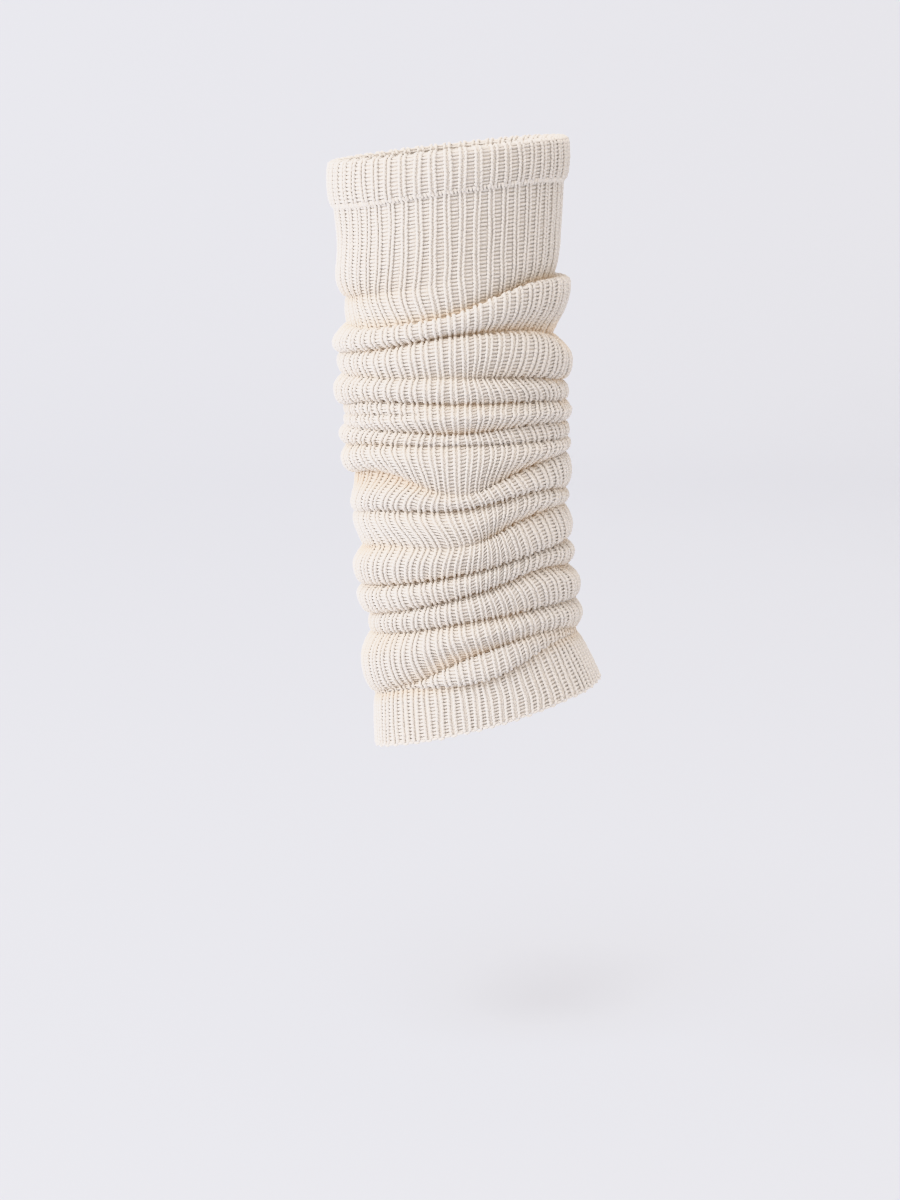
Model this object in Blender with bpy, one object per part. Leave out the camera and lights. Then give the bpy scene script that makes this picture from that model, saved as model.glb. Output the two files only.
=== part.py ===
"""Slouched ribbed leg warmer, worn on one leg and shown as a hollow garment.

Metres, +Z up. The origin is the centre of the calf opening. -X is the shin, +X is the calf
and heel, and -Y is the side that the picture shows. Three knitted pieces are built: a turned
double welt round the calf, the slouched rib tube, and the flat rib cuff round the ankle.
"""
import math
from collections import namedtuple

import bpy
import numpy as np

MM = 0.001

# Driving sizes, in millimetres

RIBS = 48                # knit ribs round the leg
COLUMNS_PER_RIB = 2      # a crest and a trough
INNER_COLUMNS = 32       # the plain inside
RIB_HEIGHT = 1.0         # crest above trough
RIB_IN_CREASE = 0.3      # share of that height left in a crease
CLOTH = 1.6              # wall under a trough
CREASE_CLOTH = 1.25      # the wall is measured level in a crease, so it is this much thicker
WELT_CLOTH = 2.8         # two layers of cloth
SEAM_GAP = 0.3
LIP_FROM = 0.4           # a lap bends the last 60 % of the roll that it belongs to
LIP_SKEW = 1.8
LAP_SHARE = 0.38         # a lap is never more than this share of the height of its roll
ROLL_ROUNDNESS = 0.75
LONG_SIDE = 0.8          # how much gentler a roll's long side falls than its short one
FULL_LAP = 4.0
FULLER = 0.35            # a roll with a full lap is this much fuller beside it
HOLLOW = 1.2             # and its neighbour this much hollower
LATE_BEND = 4            # the flat top's ribs run straight down and bend above its crease
SHOULDER_SPREAD = 1.35   # two rings of a roll stand this much wider than thirds
FAR_QUARTER = 0.6        # share of the far side's change that reaches its quarters
FAR_SWELL = 0.3          # the far rolls are fuller and flatter by turns
COLOUR_CREAM = (0.86, 0.81, 0.73, 1.0)
COLOUR_CUFF = (0.84, 0.79, 0.71, 1.0)
COLOUR_WELT = (0.88, 0.83, 0.76, 1.0)
YARN_ROUGHNESS = 0.9

# The leg that the tube hangs round: level sections of the rib crests, from the top down

Section = namedtuple("Section", "height centre half_depth half_width")
LEG = [
    Section(10, 0.0, 52.4, 49.5),
    Section(-20, 0.0, 51.4, 48.5),
    Section(-45, 0.2, 49.8, 46.8),
    Section(-75, 1.5, 48.6, 45.8),
    Section(-110, 3.0, 50.0, 46.0),
    Section(-150, 5.5, 48.5, 44.5),
    Section(-185, 8.0, 47.5, 42.5),
    Section(-212, 11.2, 46.9, 39.5),
    Section(-226, 14.6, 50.0, 38.0),
    Section(-240, 18.3, 52.8, 37.5),
    Section(-270, 21.4, 54.4, 37.5),
]
DRAWN_RADIUS = LEG[2].half_depth

# Five places round the near half: shin, shin quarter, near side, heel quarter, heel

TOP_EDGE = (-5.4, -3.3, 1.0, 4.9, 5.8)
SEAM_LINE = (-25.0, -22.6, -16.7, -12.4, -12.9)
HEM_LINE = (-267.0, -262.4, -252.8, -241.6, -236.2)

# One row for each roll and the crease under it, from the top down, in millimetres.
# height: the crease. dip and roll: how far crease and roll stand off the leg section.
# lap: how far the roll hangs over its crease, or with a minus how far the next one laps up.
# peak: how far down the roll its crest lies. lean: how far the ribs are drawn to the heel.
# far: how much higher the crease lies on the far side. rows: rings between two creases.

Fold = namedtuple("Fold", "name height dip roll lap peak lean far rows")
FOLDS = [
    Fold("flat top", (-64.7, -61.4, -55.0, -44.0, -39.0), (-2.2, -1.8, -0.4, 0.0, 0.0),
         (1.6, 1.0, 0.2, 0.0, 0.0), (0, 0, 0, 0, 0), (0.8, 0.6, 0.5), (-6, -1, 0), 1.5, 3),
    Fold("soft shin swell", (-76.5, -78.0, -72.0, -59.0, -56.5), (-1.6, -1.8, -3.0, -3.6, -3.0),
         (-1.4, -1.2, -0.6, -0.9, -0.6), (-1, -2, -4, -5, -3), (0.5, 0.5, 0.5), (0, 0, 0), 0.0, 1),
    Fold("high calf roll", (-88.8, -86.2, -79.9, -78.5, -82.6), (-0.3, -2.6, -3.6, -4.0, -4.2),
         (4.8, 3.2, 2.6, 3.8, 4.9), (1, 0, -2, -2, 0), (0.66, 0.42, 0.26), (1, 0, -3), -1.5, 2),
    Fold("second roll", (-99.1, -98.6, -97.6, -97.7, -100.9), (0.2, -0.5, -0.8, -3.0, -2.8),
         (2.8, 2.6, 2.4, 3.4, 4.4), (0, 0, 0, 2, 2), (0.4, 0.36, 0.5), (2, 0, -8), -2.0, 2),
    Fold("third roll", (-111.6, -108.2, -108.5, -108.6, -110.3), (-1.2, -2.0, -2.8, -2.4, -1.4),
         (4.3, 3.2, 2.2, 1.8, 1.6), (2, 1, 1, 1, 1), (0.55, 0.5, 0.5), (1, 0, -2), 1.5, 2),
    Fold("shin pucker", (-117.6, -114.8, -113.0, -112.6, -114.2), (-1.0, -0.8, 2.2, 2.0, 2.0),
         (0.4, 1.0, 1.0, 0.9, 1.0), (0, 0, 0, 0, 0), (0.5, 0.5, 0.5), (2, 0, -5), 0.5, 1),
    Fold("fourth roll", (-122.0, -122.6, -123.2, -120.4, -121.0), (-0.2, -2.0, -2.8, -3.0, -1.2),
         (0.9, 1.6, 2.6, 2.2, 2.3), (0, -1, -2, -2, -1), (0.4, 0.36, 0.4), (5, 0, -8), 0.5, 2),
    Fold("narrow roll", (-130.3, -127.9, -126.8, -127.0, -127.7), (0.6, -0.4, -0.8, -1.2, -0.8),
         (3.7, 1.8, 1.2, 1.0, 1.4), (0, 0, 0, 0, 0), (0.5, 0.5, 0.5), (2, 0, -5), -0.5, 1),
    Fold("long sloping roll", (-142.6, -139.4, -148.4, -139.4, -135.3), (-1.6, -3.4, 1.4, -4.4, -2.6),
         (3.8, 3.6, 3.0, 2.8, 1.9), (1, 1, 0, -5, -2), (0.6, 0.4, 0.4), (8, -1, -11), 2.0, 2),
    Fold("pocket roll", (-160.7, -157.0, -154.6, -147.8, -150.4), (-0.6, -1.6, -2.4, -2.8, -3.2),
         (1.6, 2.4, 2.6, 2.8, 2.1), (1, 1, 1, 1, 1), (0.75, 0.6, 0.5), (-1, 0, -6), -2.0, 2),
    Fold("middle roll", (-177.0, -173.4, -171.3, -162.0, -158.7), (-2.2, -0.2, 1.4, -4.8, -3.2),
         (1.2, 2.2, 2.8, 2.4, 0.6), (0, 0, 0, -6, -2), (0.3, 0.4, 0.4), (8, 4, -11), 1.5, 2),
    Fold("wide low roll", (-192.8, -188.8, -182.0, -173.2, -171.4), (-1.4, -3.0, -3.6, -4.0, -4.2),
         (3.6, 3.8, 3.8, 3.0, 1.7), (2, 3, 3, 3, 2), (0.55, 0.56, 0.6), (3, 1, -6), -2.0, 2),
    Fold("ankle roll", (-205.6, -200.7, -191.6, -182.0, -185.3), (-2.4, -3.6, -4.0, -4.4, -6.4),
         (3.8, 3.2, 2.8, 2.0, 2.2), (2, 3, 3, 2, 1), (0.5, 0.55, 0.55), (5, 0, -9), 1.5, 2),
    Fold("lower ankle roll", (-216.0, -211.9, -204.8, -199.2, -198.7), (-1.0, -2.0, -2.6, -2.8, -1.6),
         (0.2, 1.6, 2.4, 3.2, 3.6), (0, 1, 2, 3, 2), (0.5, 0.5, 0.45), (2, 1, -3), 1.0, 2),
    Fold("loose instep roll", (-242.6, -236.1, -222.6, -211.8, -214.2), (-0.6, -1.6, -2.2, 0.4, -1.4),
         (4.2, 4.0, 3.4, 3.0, 3.5), (1, 1, -3, -1, 0), (0.5, 0.42, 0.5), (0, 2, 0), 0.5, 2),
    Fold("last roll", (-244.2, -238.0, -231.4, -217.2, -216.2), (-0.9, -1.8, -2.2, -1.4, -1.4),
         (-0.6, -0.4, 2.6, 1.0, -0.8), (0, 0, 2, 1, 0), (0.5, 0.55, 0.5), (0, 1, 0), 0.0, 1),
]

# Rings of the welt and of the cuff: how far down the band, and how far off the leg section

Ring = namedtuple("Ring", "down stand_off rib")
WELT_RINGS = [
    Ring(0.0, 1.2, 0.4),
    Ring(0.07, 2.2, 0.9),
    Ring(0.5, 2.5, 1.0),
    Ring(0.9, 2.3, 0.9),
    Ring(1.0, 1.1, 0.5),
]
CUFF_RINGS = [
    Ring(0.0, -1.6, 0.3),
    Ring(0.22, -0.4, 1.0),
    Ring(0.6, 0.0, 1.0),
    Ring(0.94, 0.1, 1.0),
    Ring(1.0, -0.1, 0.5),
]


def around(near, angle, far=0.0, flip=1.0):
    """A smooth closed curve round the leg through eight places; the far half mirrors the near one."""
    shin, shin_quarter, side, heel_quarter, heel = near
    places = [shin, shin_quarter, side, heel_quarter, heel,
              flip * heel_quarter + FAR_QUARTER * far, flip * side + far,
              flip * shin_quarter + FAR_QUARTER * far]
    eighth = np.mod(angle / (math.pi / 4), 8.0)
    first = np.floor(eighth).astype(int)
    t = eighth - first
    values = np.array(places, dtype=float)
    before, here, after, later = (values[(first + step) % 8] for step in (-1, 0, 1, 2))
    slope_here = (after - before) / 2
    slope_after = (later - here) / 2
    return ((2 * t ** 3 - 3 * t ** 2 + 1) * here + (t ** 3 - 2 * t ** 2 + t) * slope_here
            + (3 * t ** 2 - 2 * t ** 3) * after + (t ** 3 - t ** 2) * slope_after)


def three_places(values, angle):
    shin, side, heel = values
    return around((shin, (shin + side) / 2, side, (side + heel) / 2, heel), angle)


def ribs_drawn(lean, height, angle):
    """How far the ribs are drawn towards the heel, which turns the other way on the far side."""
    shin_quarter, side, heel_quarter = lean
    drawn = around((0, shin_quarter, side, heel_quarter, 0), angle, flip=-1.0)
    return drawn + DRAWN_RADIUS * even_spread(height) * np.sin(2 * angle)


def even_spread(height):
    """The turn that spaces the ribs evenly round the oval leg section at a height."""
    heights = [-section.height for section in LEG]
    depth = np.interp(-height, heights, [section.half_depth for section in LEG])
    width = np.interp(-height, heights, [section.half_width for section in LEG])
    return (depth ** 2 - width ** 2) / (depth ** 2 + width ** 2) / 4


def on_leg(angle, height, stand_off):
    """The point at a height and an angle, a distance outside the leg section."""
    heights = [-section.height for section in LEG]
    centre = np.interp(-height, heights, [section.centre for section in LEG])
    depth = np.interp(-height, heights, [section.half_depth for section in LEG]) + stand_off
    width = np.interp(-height, heights, [section.half_width for section in LEG]) + stand_off
    return np.stack([centre - depth * np.cos(angle), -width * np.sin(angle), height], axis=-1)


def lip(t):
    """Where a lap bends its roll: nothing at the crease, most at the shoulder beside it."""
    along = np.clip((t - LIP_FROM) / (1 - LIP_FROM), 0, 1)
    return np.sin(math.pi * along ** LIP_SKEW)


def crease_at(index, angle):
    """Height, stand-off, lap and drawn ribs at the crease under a roll, or at the welt's seam."""
    if index < 0:
        flat = np.zeros_like(angle)
        drawn = ribs_drawn((0, 0, 0), SEAM_LINE[2], angle)
        return around(SEAM_LINE, angle) - SEAM_GAP, flat, flat, drawn
    fold = FOLDS[index]
    return (around(fold.height, angle, fold.far), around(fold.dip, angle),
            around(fold.lap, angle), ribs_drawn(fold.lean, fold.height[2], angle))


def roundness(lap):
    """The power of a roll's arch: fuller beside a crease that it laps, hollow where it is lapped."""
    return ROLL_ROUNDNESS * (1 + HOLLOW * np.clip(-lap, 0, FULL_LAP) / FULL_LAP
                             - FULLER * np.clip(lap, 0, FULL_LAP) / FULL_LAP)


def roll_point(index, t, angle):
    """A point of the smooth trough surface, t down the roll, with the rib share left there."""
    top, top_dip, top_lap, _ = crease_at(index - 1, angle)
    low, low_dip, low_lap, _ = crease_at(index, angle)
    fold = FOLDS[index]
    peak = three_places(fold.peak, angle)
    roll = around(fold.roll, angle, far=FAR_SWELL * (-1) ** index)
    gentle = np.where((t - peak) * (0.5 - peak) > 0, np.abs(1 - 2 * peak), 0.0)
    power = np.where(t < peak, roundness(-top_lap), roundness(low_lap)) + LONG_SIDE * gentle
    swell = np.clip(np.sin(math.pi * t ** (math.log(0.5) / np.log(peak))), 0, 1) ** power
    between = top_dip + (low_dip - top_dip) * t
    at_peak = top_dip + (low_dip - top_dip) * peak
    stand_off = between + swell * (roll - at_peak)
    most = LAP_SHARE * (top - low)
    hangs = np.clip(low_lap, 0, most)
    laps_up = np.clip(-top_lap, 0, most)
    height = top + (low - top) * t - hangs * lip(t) + laps_up * lip(1 - t)
    return on_leg(angle, height, stand_off - RIB_HEIGHT)


def drawn_angle(index, t, angle):
    """The angle of a rib after the cloth is drawn sideways in the folds."""
    drawn_top = crease_at(index - 1, angle)[3]
    drawn_low = crease_at(index, angle)[3]
    ease = t ** LATE_BEND if index == 0 else t * t * (3 - 2 * t)
    return angle + (drawn_top + (drawn_low - drawn_top) * ease) / DRAWN_RADIUS


def tube_rows():
    """Every ring of the tube as roll, place down it and rib share."""
    rows = [(0, 0.0, RIB_IN_CREASE)]
    for index, fold in enumerate(FOLDS):
        for step in range(1, fold.rows + 1):
            middle = step / (fold.rows + 1)
            spread = 0.5 + (middle - 0.5) * (SHOULDER_SPREAD if fold.rows > 1 else 1.0)
            rows.append((index, spread, 1.0))
        rows.append((index, 1.0, RIB_IN_CREASE))
    return rows


def tube_surface(angle, row):
    index, t, _ = row
    return roll_point(index, t, drawn_angle(index, t, angle))


def band_surface(angle, top_line, low_line, ring):
    middle = top_line[2] + (low_line[2] - top_line[2]) * ring.down
    turned = angle + ribs_drawn((0, 0, 0), middle, angle) / DRAWN_RADIUS
    top = around(top_line, turned)
    low = around(low_line, turned)
    return on_leg(turned, top + (low - top) * ring.down, ring.stand_off - RIB_HEIGHT)


def outward(grid):
    """Unit normals of a closed grid of rings, rows from the top down."""
    across = np.roll(grid, -1, axis=1) - np.roll(grid, 1, axis=1)
    down = np.gradient(grid, axis=0)
    normal = np.cross(down, across)
    return normal / np.linalg.norm(normal, axis=2, keepdims=True)


def ring_angles(count):
    return np.arange(count) * (2 * math.pi / count)


def knitted_wall(name, surface, rows, rib_shares, cloth, colour):
    """A closed wall: ribbed rings outside, plain rings inside, joined at both ends."""
    outer_count = RIBS * COLUMNS_PER_RIB
    outer = np.array([surface(ring_angles(outer_count), row) for row in rows])
    inner = np.array([surface(ring_angles(INNER_COLUMNS), row) for row in rows])
    shares = np.array(rib_shares)
    crest = np.zeros(outer_count)
    crest[::COLUMNS_PER_RIB] = RIB_HEIGHT
    outer = outer + outward(outer) * (shares[:, None] * crest[None, :])[:, :, None]
    depth = np.where(shares < 0.5, cloth * CREASE_CLOTH, cloth)
    inner = inner - outward(inner) * depth[:, None, None]
    verts = np.concatenate([outer.reshape(-1, 3), inner.reshape(-1, 3)]) * MM
    faces = wall_faces(len(rows), outer_count, INNER_COLUMNS)
    mesh = bpy.data.meshes.new(name)
    mesh.from_pydata(verts.tolist(), [], faces)
    mesh.validate()
    mesh.shade_smooth()
    mesh.materials.append(yarn(name, colour))
    piece = bpy.data.objects.new(name, mesh)
    bpy.context.scene.collection.objects.link(piece)
    return piece


def wall_faces(row_count, outer_count, inner_count):
    """Triangles of the outside, the inside and the two ends, all facing out of the cloth."""
    def outside(row, column):
        return row * outer_count + column % outer_count

    def inside(row, column):
        return row_count * outer_count + row * inner_count + column % inner_count

    faces = []
    for row in range(row_count - 1):
        for column in range(outer_count):
            a, b = outside(row, column), outside(row, column + 1)
            c, d = outside(row + 1, column + 1), outside(row + 1, column)
            faces += [(a, d, c), (a, c, b)]
        for column in range(inner_count):
            a, b = inside(row, column), inside(row, column + 1)
            c, d = inside(row + 1, column + 1), inside(row + 1, column)
            faces += [(a, c, d), (a, b, c)]
    for row, turn in ((0, 1), (row_count - 1, -1)):
        for column in range(inner_count):
            faces += end_fan(row, column, outer_count // inner_count, outside, inside, turn)
    return faces


def end_fan(row, column, step, outside, inside, turn):
    """The triangles between the outer ring and one stretch of the inner ring."""
    near, far = inside(row, column), inside(row, column + 1)
    fan = []
    half = step // 2
    for k in range(step):
        hub = near if k < half else far
        fan.append((outside(row, step * column + k), outside(row, step * column + k + 1), hub))
    fan.append((outside(row, step * column + half), far, near))
    return [face[::turn] for face in fan]


def yarn(name, colour):
    material = bpy.data.materials.new(name)
    material.use_nodes = True
    shader = material.node_tree.nodes["Principled BSDF"]
    shader.inputs["Base Color"].default_value = colour
    shader.inputs["Roughness"].default_value = YARN_ROUGHNESS
    shader.inputs["Metallic"].default_value = 0.0
    return material


def clear_scene():
    for item in list(bpy.data.objects):
        bpy.data.objects.remove(item, do_unlink=True)


def build():
    clear_scene()
    rows = tube_rows()
    knitted_wall("leg_tube", tube_surface, rows, [row[2] for row in rows], CLOTH, COLOUR_CREAM)

    def welt(angle, ring):
        return band_surface(angle, TOP_EDGE, SEAM_LINE, ring)

    knitted_wall("top_welt", welt, WELT_RINGS, [ring.rib for ring in WELT_RINGS],
                 WELT_CLOTH, COLOUR_WELT)
    cuff_top = FOLDS[-1].height

    def cuff(angle, ring):
        point = band_surface(angle, cuff_top, HEM_LINE, ring)
        point[..., 2] -= SEAM_GAP * (1 - ring.down)
        return point

    knitted_wall("ankle_cuff", cuff, CUFF_RINGS, [ring.rib for ring in CUFF_RINGS],
                 CLOTH, COLOUR_CUFF)


build()
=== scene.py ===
"""Slouched ribbed leg warmer: knitted welt, rolled leg tube and ankle cuff, stitch by stitch."""
import math
from collections import namedtuple
from functools import partialmethod

import bpy
import numpy as np
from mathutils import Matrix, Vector


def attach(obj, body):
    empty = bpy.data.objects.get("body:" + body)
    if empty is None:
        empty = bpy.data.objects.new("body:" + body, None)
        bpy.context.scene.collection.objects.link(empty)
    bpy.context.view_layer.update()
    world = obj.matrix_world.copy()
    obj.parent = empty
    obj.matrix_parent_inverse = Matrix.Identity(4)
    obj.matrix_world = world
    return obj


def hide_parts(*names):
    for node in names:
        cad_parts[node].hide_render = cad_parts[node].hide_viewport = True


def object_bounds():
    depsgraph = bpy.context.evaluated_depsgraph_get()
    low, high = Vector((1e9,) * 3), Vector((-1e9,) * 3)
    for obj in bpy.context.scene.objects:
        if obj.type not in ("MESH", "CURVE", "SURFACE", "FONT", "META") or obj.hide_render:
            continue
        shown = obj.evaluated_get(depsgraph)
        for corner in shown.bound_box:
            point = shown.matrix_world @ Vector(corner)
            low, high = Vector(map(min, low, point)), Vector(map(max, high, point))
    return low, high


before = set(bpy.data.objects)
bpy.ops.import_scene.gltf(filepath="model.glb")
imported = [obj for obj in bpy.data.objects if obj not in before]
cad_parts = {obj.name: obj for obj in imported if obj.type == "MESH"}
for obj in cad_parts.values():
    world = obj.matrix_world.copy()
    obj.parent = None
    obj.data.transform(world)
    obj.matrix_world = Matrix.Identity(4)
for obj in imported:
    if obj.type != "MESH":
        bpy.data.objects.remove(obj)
CAD_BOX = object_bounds()

bl_info = {
    "name": "Ribbed Leg Warmer",
    "version": (1, 0, 0),
    "blender": (4, 5, 0),
    "location": "3D View > Sidebar > Knitwear",
    "description": "Knits a slouched ribbed leg warmer with a turned welt and a cast-off hem",
    "category": "Add Mesh",
}

MM = 0.001

# The form of the worn cloth, in millimetres: the same sizes as the solids

RIBS = 48
RIB_HEIGHT = 1.0         # the cloth lies this far under its own outline, for the stitches
SEAM_GAP = 0.3           # air between two linked pieces
LIP_FROM = 0.4           # a lap bends its roll from this share of the way down it
LIP_SKEW = 1.8           # the more, the nearer to the crease the bend is fullest
LAP_SHARE = 0.38         # a lap is at most this share of its roll's height
ROLL_ROUNDNESS = 0.75    # power of a roll's arch, and under 1 is fuller than a sine
LONG_SIDE = 0.8          # how much gentler a roll's long side falls than its short one
FULL_LAP = 4.0           # a lap of this length has its full effect on the rolls beside it
FULLER = 0.35            # a roll with a full lap is this much fuller beside it
HOLLOW = 1.2             # and its neighbour this much hollower
LATE_BEND = 4            # the flat top's ribs run straight down and bend only above its crease
FAR_QUARTER = 0.6        # share of a change on the far side that reaches its quarters
FAR_SWELL = 0.3          # rolls on the far side are this much fuller or flatter, by turns

Section = namedtuple("Section", "height centre half_depth half_width")
LEG = [Section(*row) for row in (
    (10, 0.0, 52.4, 49.5),
    (-20, 0.0, 51.4, 48.5),
    (-45, 0.2, 49.8, 46.8),
    (-75, 1.5, 48.6, 45.8),
    (-110, 3.0, 50.0, 46.0),
    (-150, 5.5, 48.5, 44.5),
    (-185, 8.0, 47.5, 42.5),
    (-212, 11.2, 46.9, 39.5),
    (-226, 14.6, 50.0, 38.0),
    (-240, 18.3, 52.8, 37.5),
    (-270, 21.4, 54.4, 37.5),
)]
DRAWN_RADIUS = LEG[2].half_depth

# Five places round the near half: shin, shin quarter, near side, heel quarter, heel

TOP_EDGE = (-5.4, -3.3, 1.0, 4.9, 5.8)
SEAM_LINE = (-25.0, -22.6, -16.7, -12.4, -12.9)
HEM_LINE = (-267.0, -262.4, -252.8, -241.6, -236.2)

# One row for each roll and the crease under it. height: the crease. dip and roll: how far
# crease and roll stand off the leg. lap: how far the roll hangs over its crease, or with a
# minus how far the next laps up. peak: how far down the roll its crest lies. lean: how far
# the ribs are drawn to the heel. far: how much higher the crease lies on the far side.

Fold = namedtuple("Fold", "name height dip roll lap peak lean far")
FOLDS = [
    Fold("flat top", (-64.7, -61.4, -55.0, -44.0, -39.0), (-2.2, -1.8, -0.4, 0.0, 0.0),
         (1.6, 1.0, 0.2, 0.0, 0.0), (0, 0, 0, 0, 0), (0.8, 0.6, 0.5), (-6, -1, 0), 1.5),
    Fold("soft shin swell", (-76.5, -78.0, -72.0, -59.0, -56.5), (-1.6, -1.8, -3.0, -3.6, -3.0),
         (-1.4, -1.2, -0.6, -0.9, -0.6), (-1, -2, -4, -5, -3), (0.5, 0.5, 0.5), (0, 0, 0), 0.0),
    Fold("high calf roll", (-88.8, -86.2, -79.9, -78.5, -82.6), (-0.3, -2.6, -3.6, -4.0, -4.2),
         (4.8, 3.2, 2.6, 3.8, 4.9), (1, 0, -2, -2, 0), (0.66, 0.42, 0.26), (1, 0, -3), -1.5),
    Fold("second roll", (-99.1, -98.6, -97.6, -97.7, -100.9), (0.2, -0.5, -0.8, -3.0, -2.8),
         (2.8, 2.6, 2.4, 3.4, 4.4), (0, 0, 0, 2, 2), (0.4, 0.36, 0.5), (2, 0, -8), -2.0),
    Fold("third roll", (-111.6, -108.2, -108.5, -108.6, -110.3), (-1.2, -2.0, -2.8, -2.4, -1.4),
         (4.3, 3.2, 2.2, 1.8, 1.6), (2, 1, 1, 1, 1), (0.55, 0.5, 0.5), (1, 0, -2), 1.5),
    Fold("shin pucker", (-117.6, -114.8, -113.0, -112.6, -114.2), (-1.0, -0.8, 2.2, 2.0, 2.0),
         (0.4, 1.0, 1.0, 0.9, 1.0), (0, 0, 0, 0, 0), (0.5, 0.5, 0.5), (2, 0, -5), 0.5),
    Fold("fourth roll", (-122.0, -122.6, -123.2, -120.4, -121.0), (-0.2, -2.0, -2.8, -3.0, -1.2),
         (0.9, 1.6, 2.6, 2.2, 2.3), (0, -1, -2, -2, -1), (0.4, 0.36, 0.4), (5, 0, -8), 0.5),
    Fold("narrow roll", (-130.3, -127.9, -126.8, -127.0, -127.7), (0.6, -0.4, -0.8, -1.2, -0.8),
         (3.7, 1.8, 1.2, 1.0, 1.4), (0, 0, 0, 0, 0), (0.5, 0.5, 0.5), (2, 0, -5), -0.5),
    Fold("long sloping roll", (-142.6, -139.4, -148.4, -139.4, -135.3),
         (-1.6, -3.4, 1.4, -4.4, -2.6), (3.8, 3.6, 3.0, 2.8, 1.9), (1, 1, 0, -5, -2),
         (0.6, 0.4, 0.4), (8, -1, -11), 2.0),
    Fold("pocket roll", (-160.7, -157.0, -154.6, -147.8, -150.4), (-0.6, -1.6, -2.4, -2.8, -3.2),
         (1.6, 2.4, 2.6, 2.8, 2.1), (1, 1, 1, 1, 1), (0.75, 0.6, 0.5), (-1, 0, -6), -2.0),
    Fold("middle roll", (-177.0, -173.4, -171.3, -162.0, -158.7), (-2.2, -0.2, 1.4, -4.8, -3.2),
         (1.2, 2.2, 2.8, 2.4, 0.6), (0, 0, 0, -6, -2), (0.3, 0.4, 0.4), (8, 4, -11), 1.5),
    Fold("wide low roll", (-192.8, -188.8, -182.0, -173.2, -171.4), (-1.4, -3.0, -3.6, -4.0, -4.2),
         (3.6, 3.8, 3.8, 3.0, 1.7), (2, 3, 3, 3, 2), (0.55, 0.56, 0.6), (3, 1, -6), -2.0),
    Fold("ankle roll", (-205.6, -200.7, -191.6, -182.0, -185.3), (-2.4, -3.6, -4.0, -4.4, -6.4),
         (3.8, 3.2, 2.8, 2.0, 2.2), (2, 3, 3, 2, 1), (0.5, 0.55, 0.55), (5, 0, -9), 1.5),
    Fold("lower ankle roll", (-216.0, -211.9, -204.8, -199.2, -198.7),
         (-1.0, -2.0, -2.6, -2.8, -1.6), (0.2, 1.6, 2.4, 3.2, 3.6), (0, 1, 2, 3, 2),
         (0.5, 0.5, 0.45), (2, 1, -3), 1.0),
    Fold("loose instep roll", (-242.6, -236.1, -222.6, -211.8, -214.2),
         (-0.6, -1.6, -2.2, 0.4, -1.4), (4.2, 4.0, 3.4, 3.0, 3.5), (1, 1, -3, -1, 0),
         (0.5, 0.42, 0.5), (0, 2, 0), 0.5),
    Fold("last roll", (-244.2, -238.0, -231.4, -217.2, -216.2), (-0.9, -1.8, -2.2, -1.4, -1.4),
         (-0.6, -0.4, 2.6, 1.0, -0.8), (0, 0, 2, 1, 0), (0.5, 0.55, 0.5), (0, 1, 0), 0.0),
]

# The welt's path from its inner foot over the rim to the seam, and the cuff's from its top
# down: share of the band's height, and how far off the leg

Path = namedtuple("Path", "down stand_off")
WELT_PATH = [Path(*place) for place in (
    (1.0, -1.5), (0.7, -1.6), (0.35, -1.6), (0.1, -1.5), (0.02, -0.9), (0.0, 0.1),
    (0.03, 1.2), (0.12, 1.9), (0.5, 2.4), (0.8, 2.0), (0.95, 1.3), (1.0, 0.3),
)]
CUFF_PATH = [Path(0.0, -1.6), Path(0.2, -0.5), Path(0.6, 0.0), Path(1.0, 0.0)]

# The knitting, in millimetres

COURSE = 1.6             # height of a stitch
RIB_PITCH = 6.6          # one knit rib and one purl channel
CORD_RADIUS = 0.70       # a leg of a knit stitch
BAR_RADIUS = 0.66        # the bar of a purl stitch
LINK_RADIUS = 0.74       # a stitch of the linking seam
HEM_RADIUS = 0.62        # a loop of the cast-off
SLACK_FULLER = 0.25      # slack yarn is this much thicker than stretched yarn
GROUND_UNDER = 0.5       # the ground cloth lies this far in where the relief has faded
CHANNEL_UNDER = 0.3      # and this much further between the ribs of open cloth
PAD_HEIGHT = 0.75        # but it rises this far under a rib
PAD_WIDTH = 1.75         # how wide the raised strip is, and how steep its sides are
PAD_STEEP = 5.6
INNER_UNDER = 0.75       # the inner face lies this far in, besides the wall
INNER_RIBS = 0.42        # half the height of the soft ribs inside
WALL_UNDER = 1.1         # cloth under the stitches
FADE_LENGTH = 3.2        # relief grows back over this way out of a crease
FADE_LEFT = 0.3          # share of the relief left in the deepest creases
THIN_IN_CREASE = 0.65    # share of the yarn's thickness left in a crease
FLATTEST = 0.35          # and share of a stitch's height
STRETCHED_FOR = 42.0     # the tube is stretched this far down from the welt
SLACK_WITHIN = 16.0      # and slack this much lower
HOLLOW_REACH = 9.0       # a fold's crest is looked for this far up and down the cloth
HOLLOW_DEPTH = 5.0       # cloth this far under a crest takes the full painted tan shade of a fold
SEAM_TUCK = 1.4          # the tube goes this far up behind the welt
CUFF_SHADE_REACH = 5.0        # the cuff's top lies this far in the fold over it, and over this far takes the painted fold shade and glow
GRID_PER_RIB = 8         # columns of the laid-out cloth for each rib
GRID_STEP = 0.5          # and the way between its rows
ROLL_SAMPLES = 22        # rings down each roll
PATH_SAMPLES = 12        # points between two places of a band's path
WAY_STEP = 0.004         # share of the cloth's length over which its way down is read

# Bends of a stitch's yarn in millimetres: across the rib, down it and out of the cloth

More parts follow.
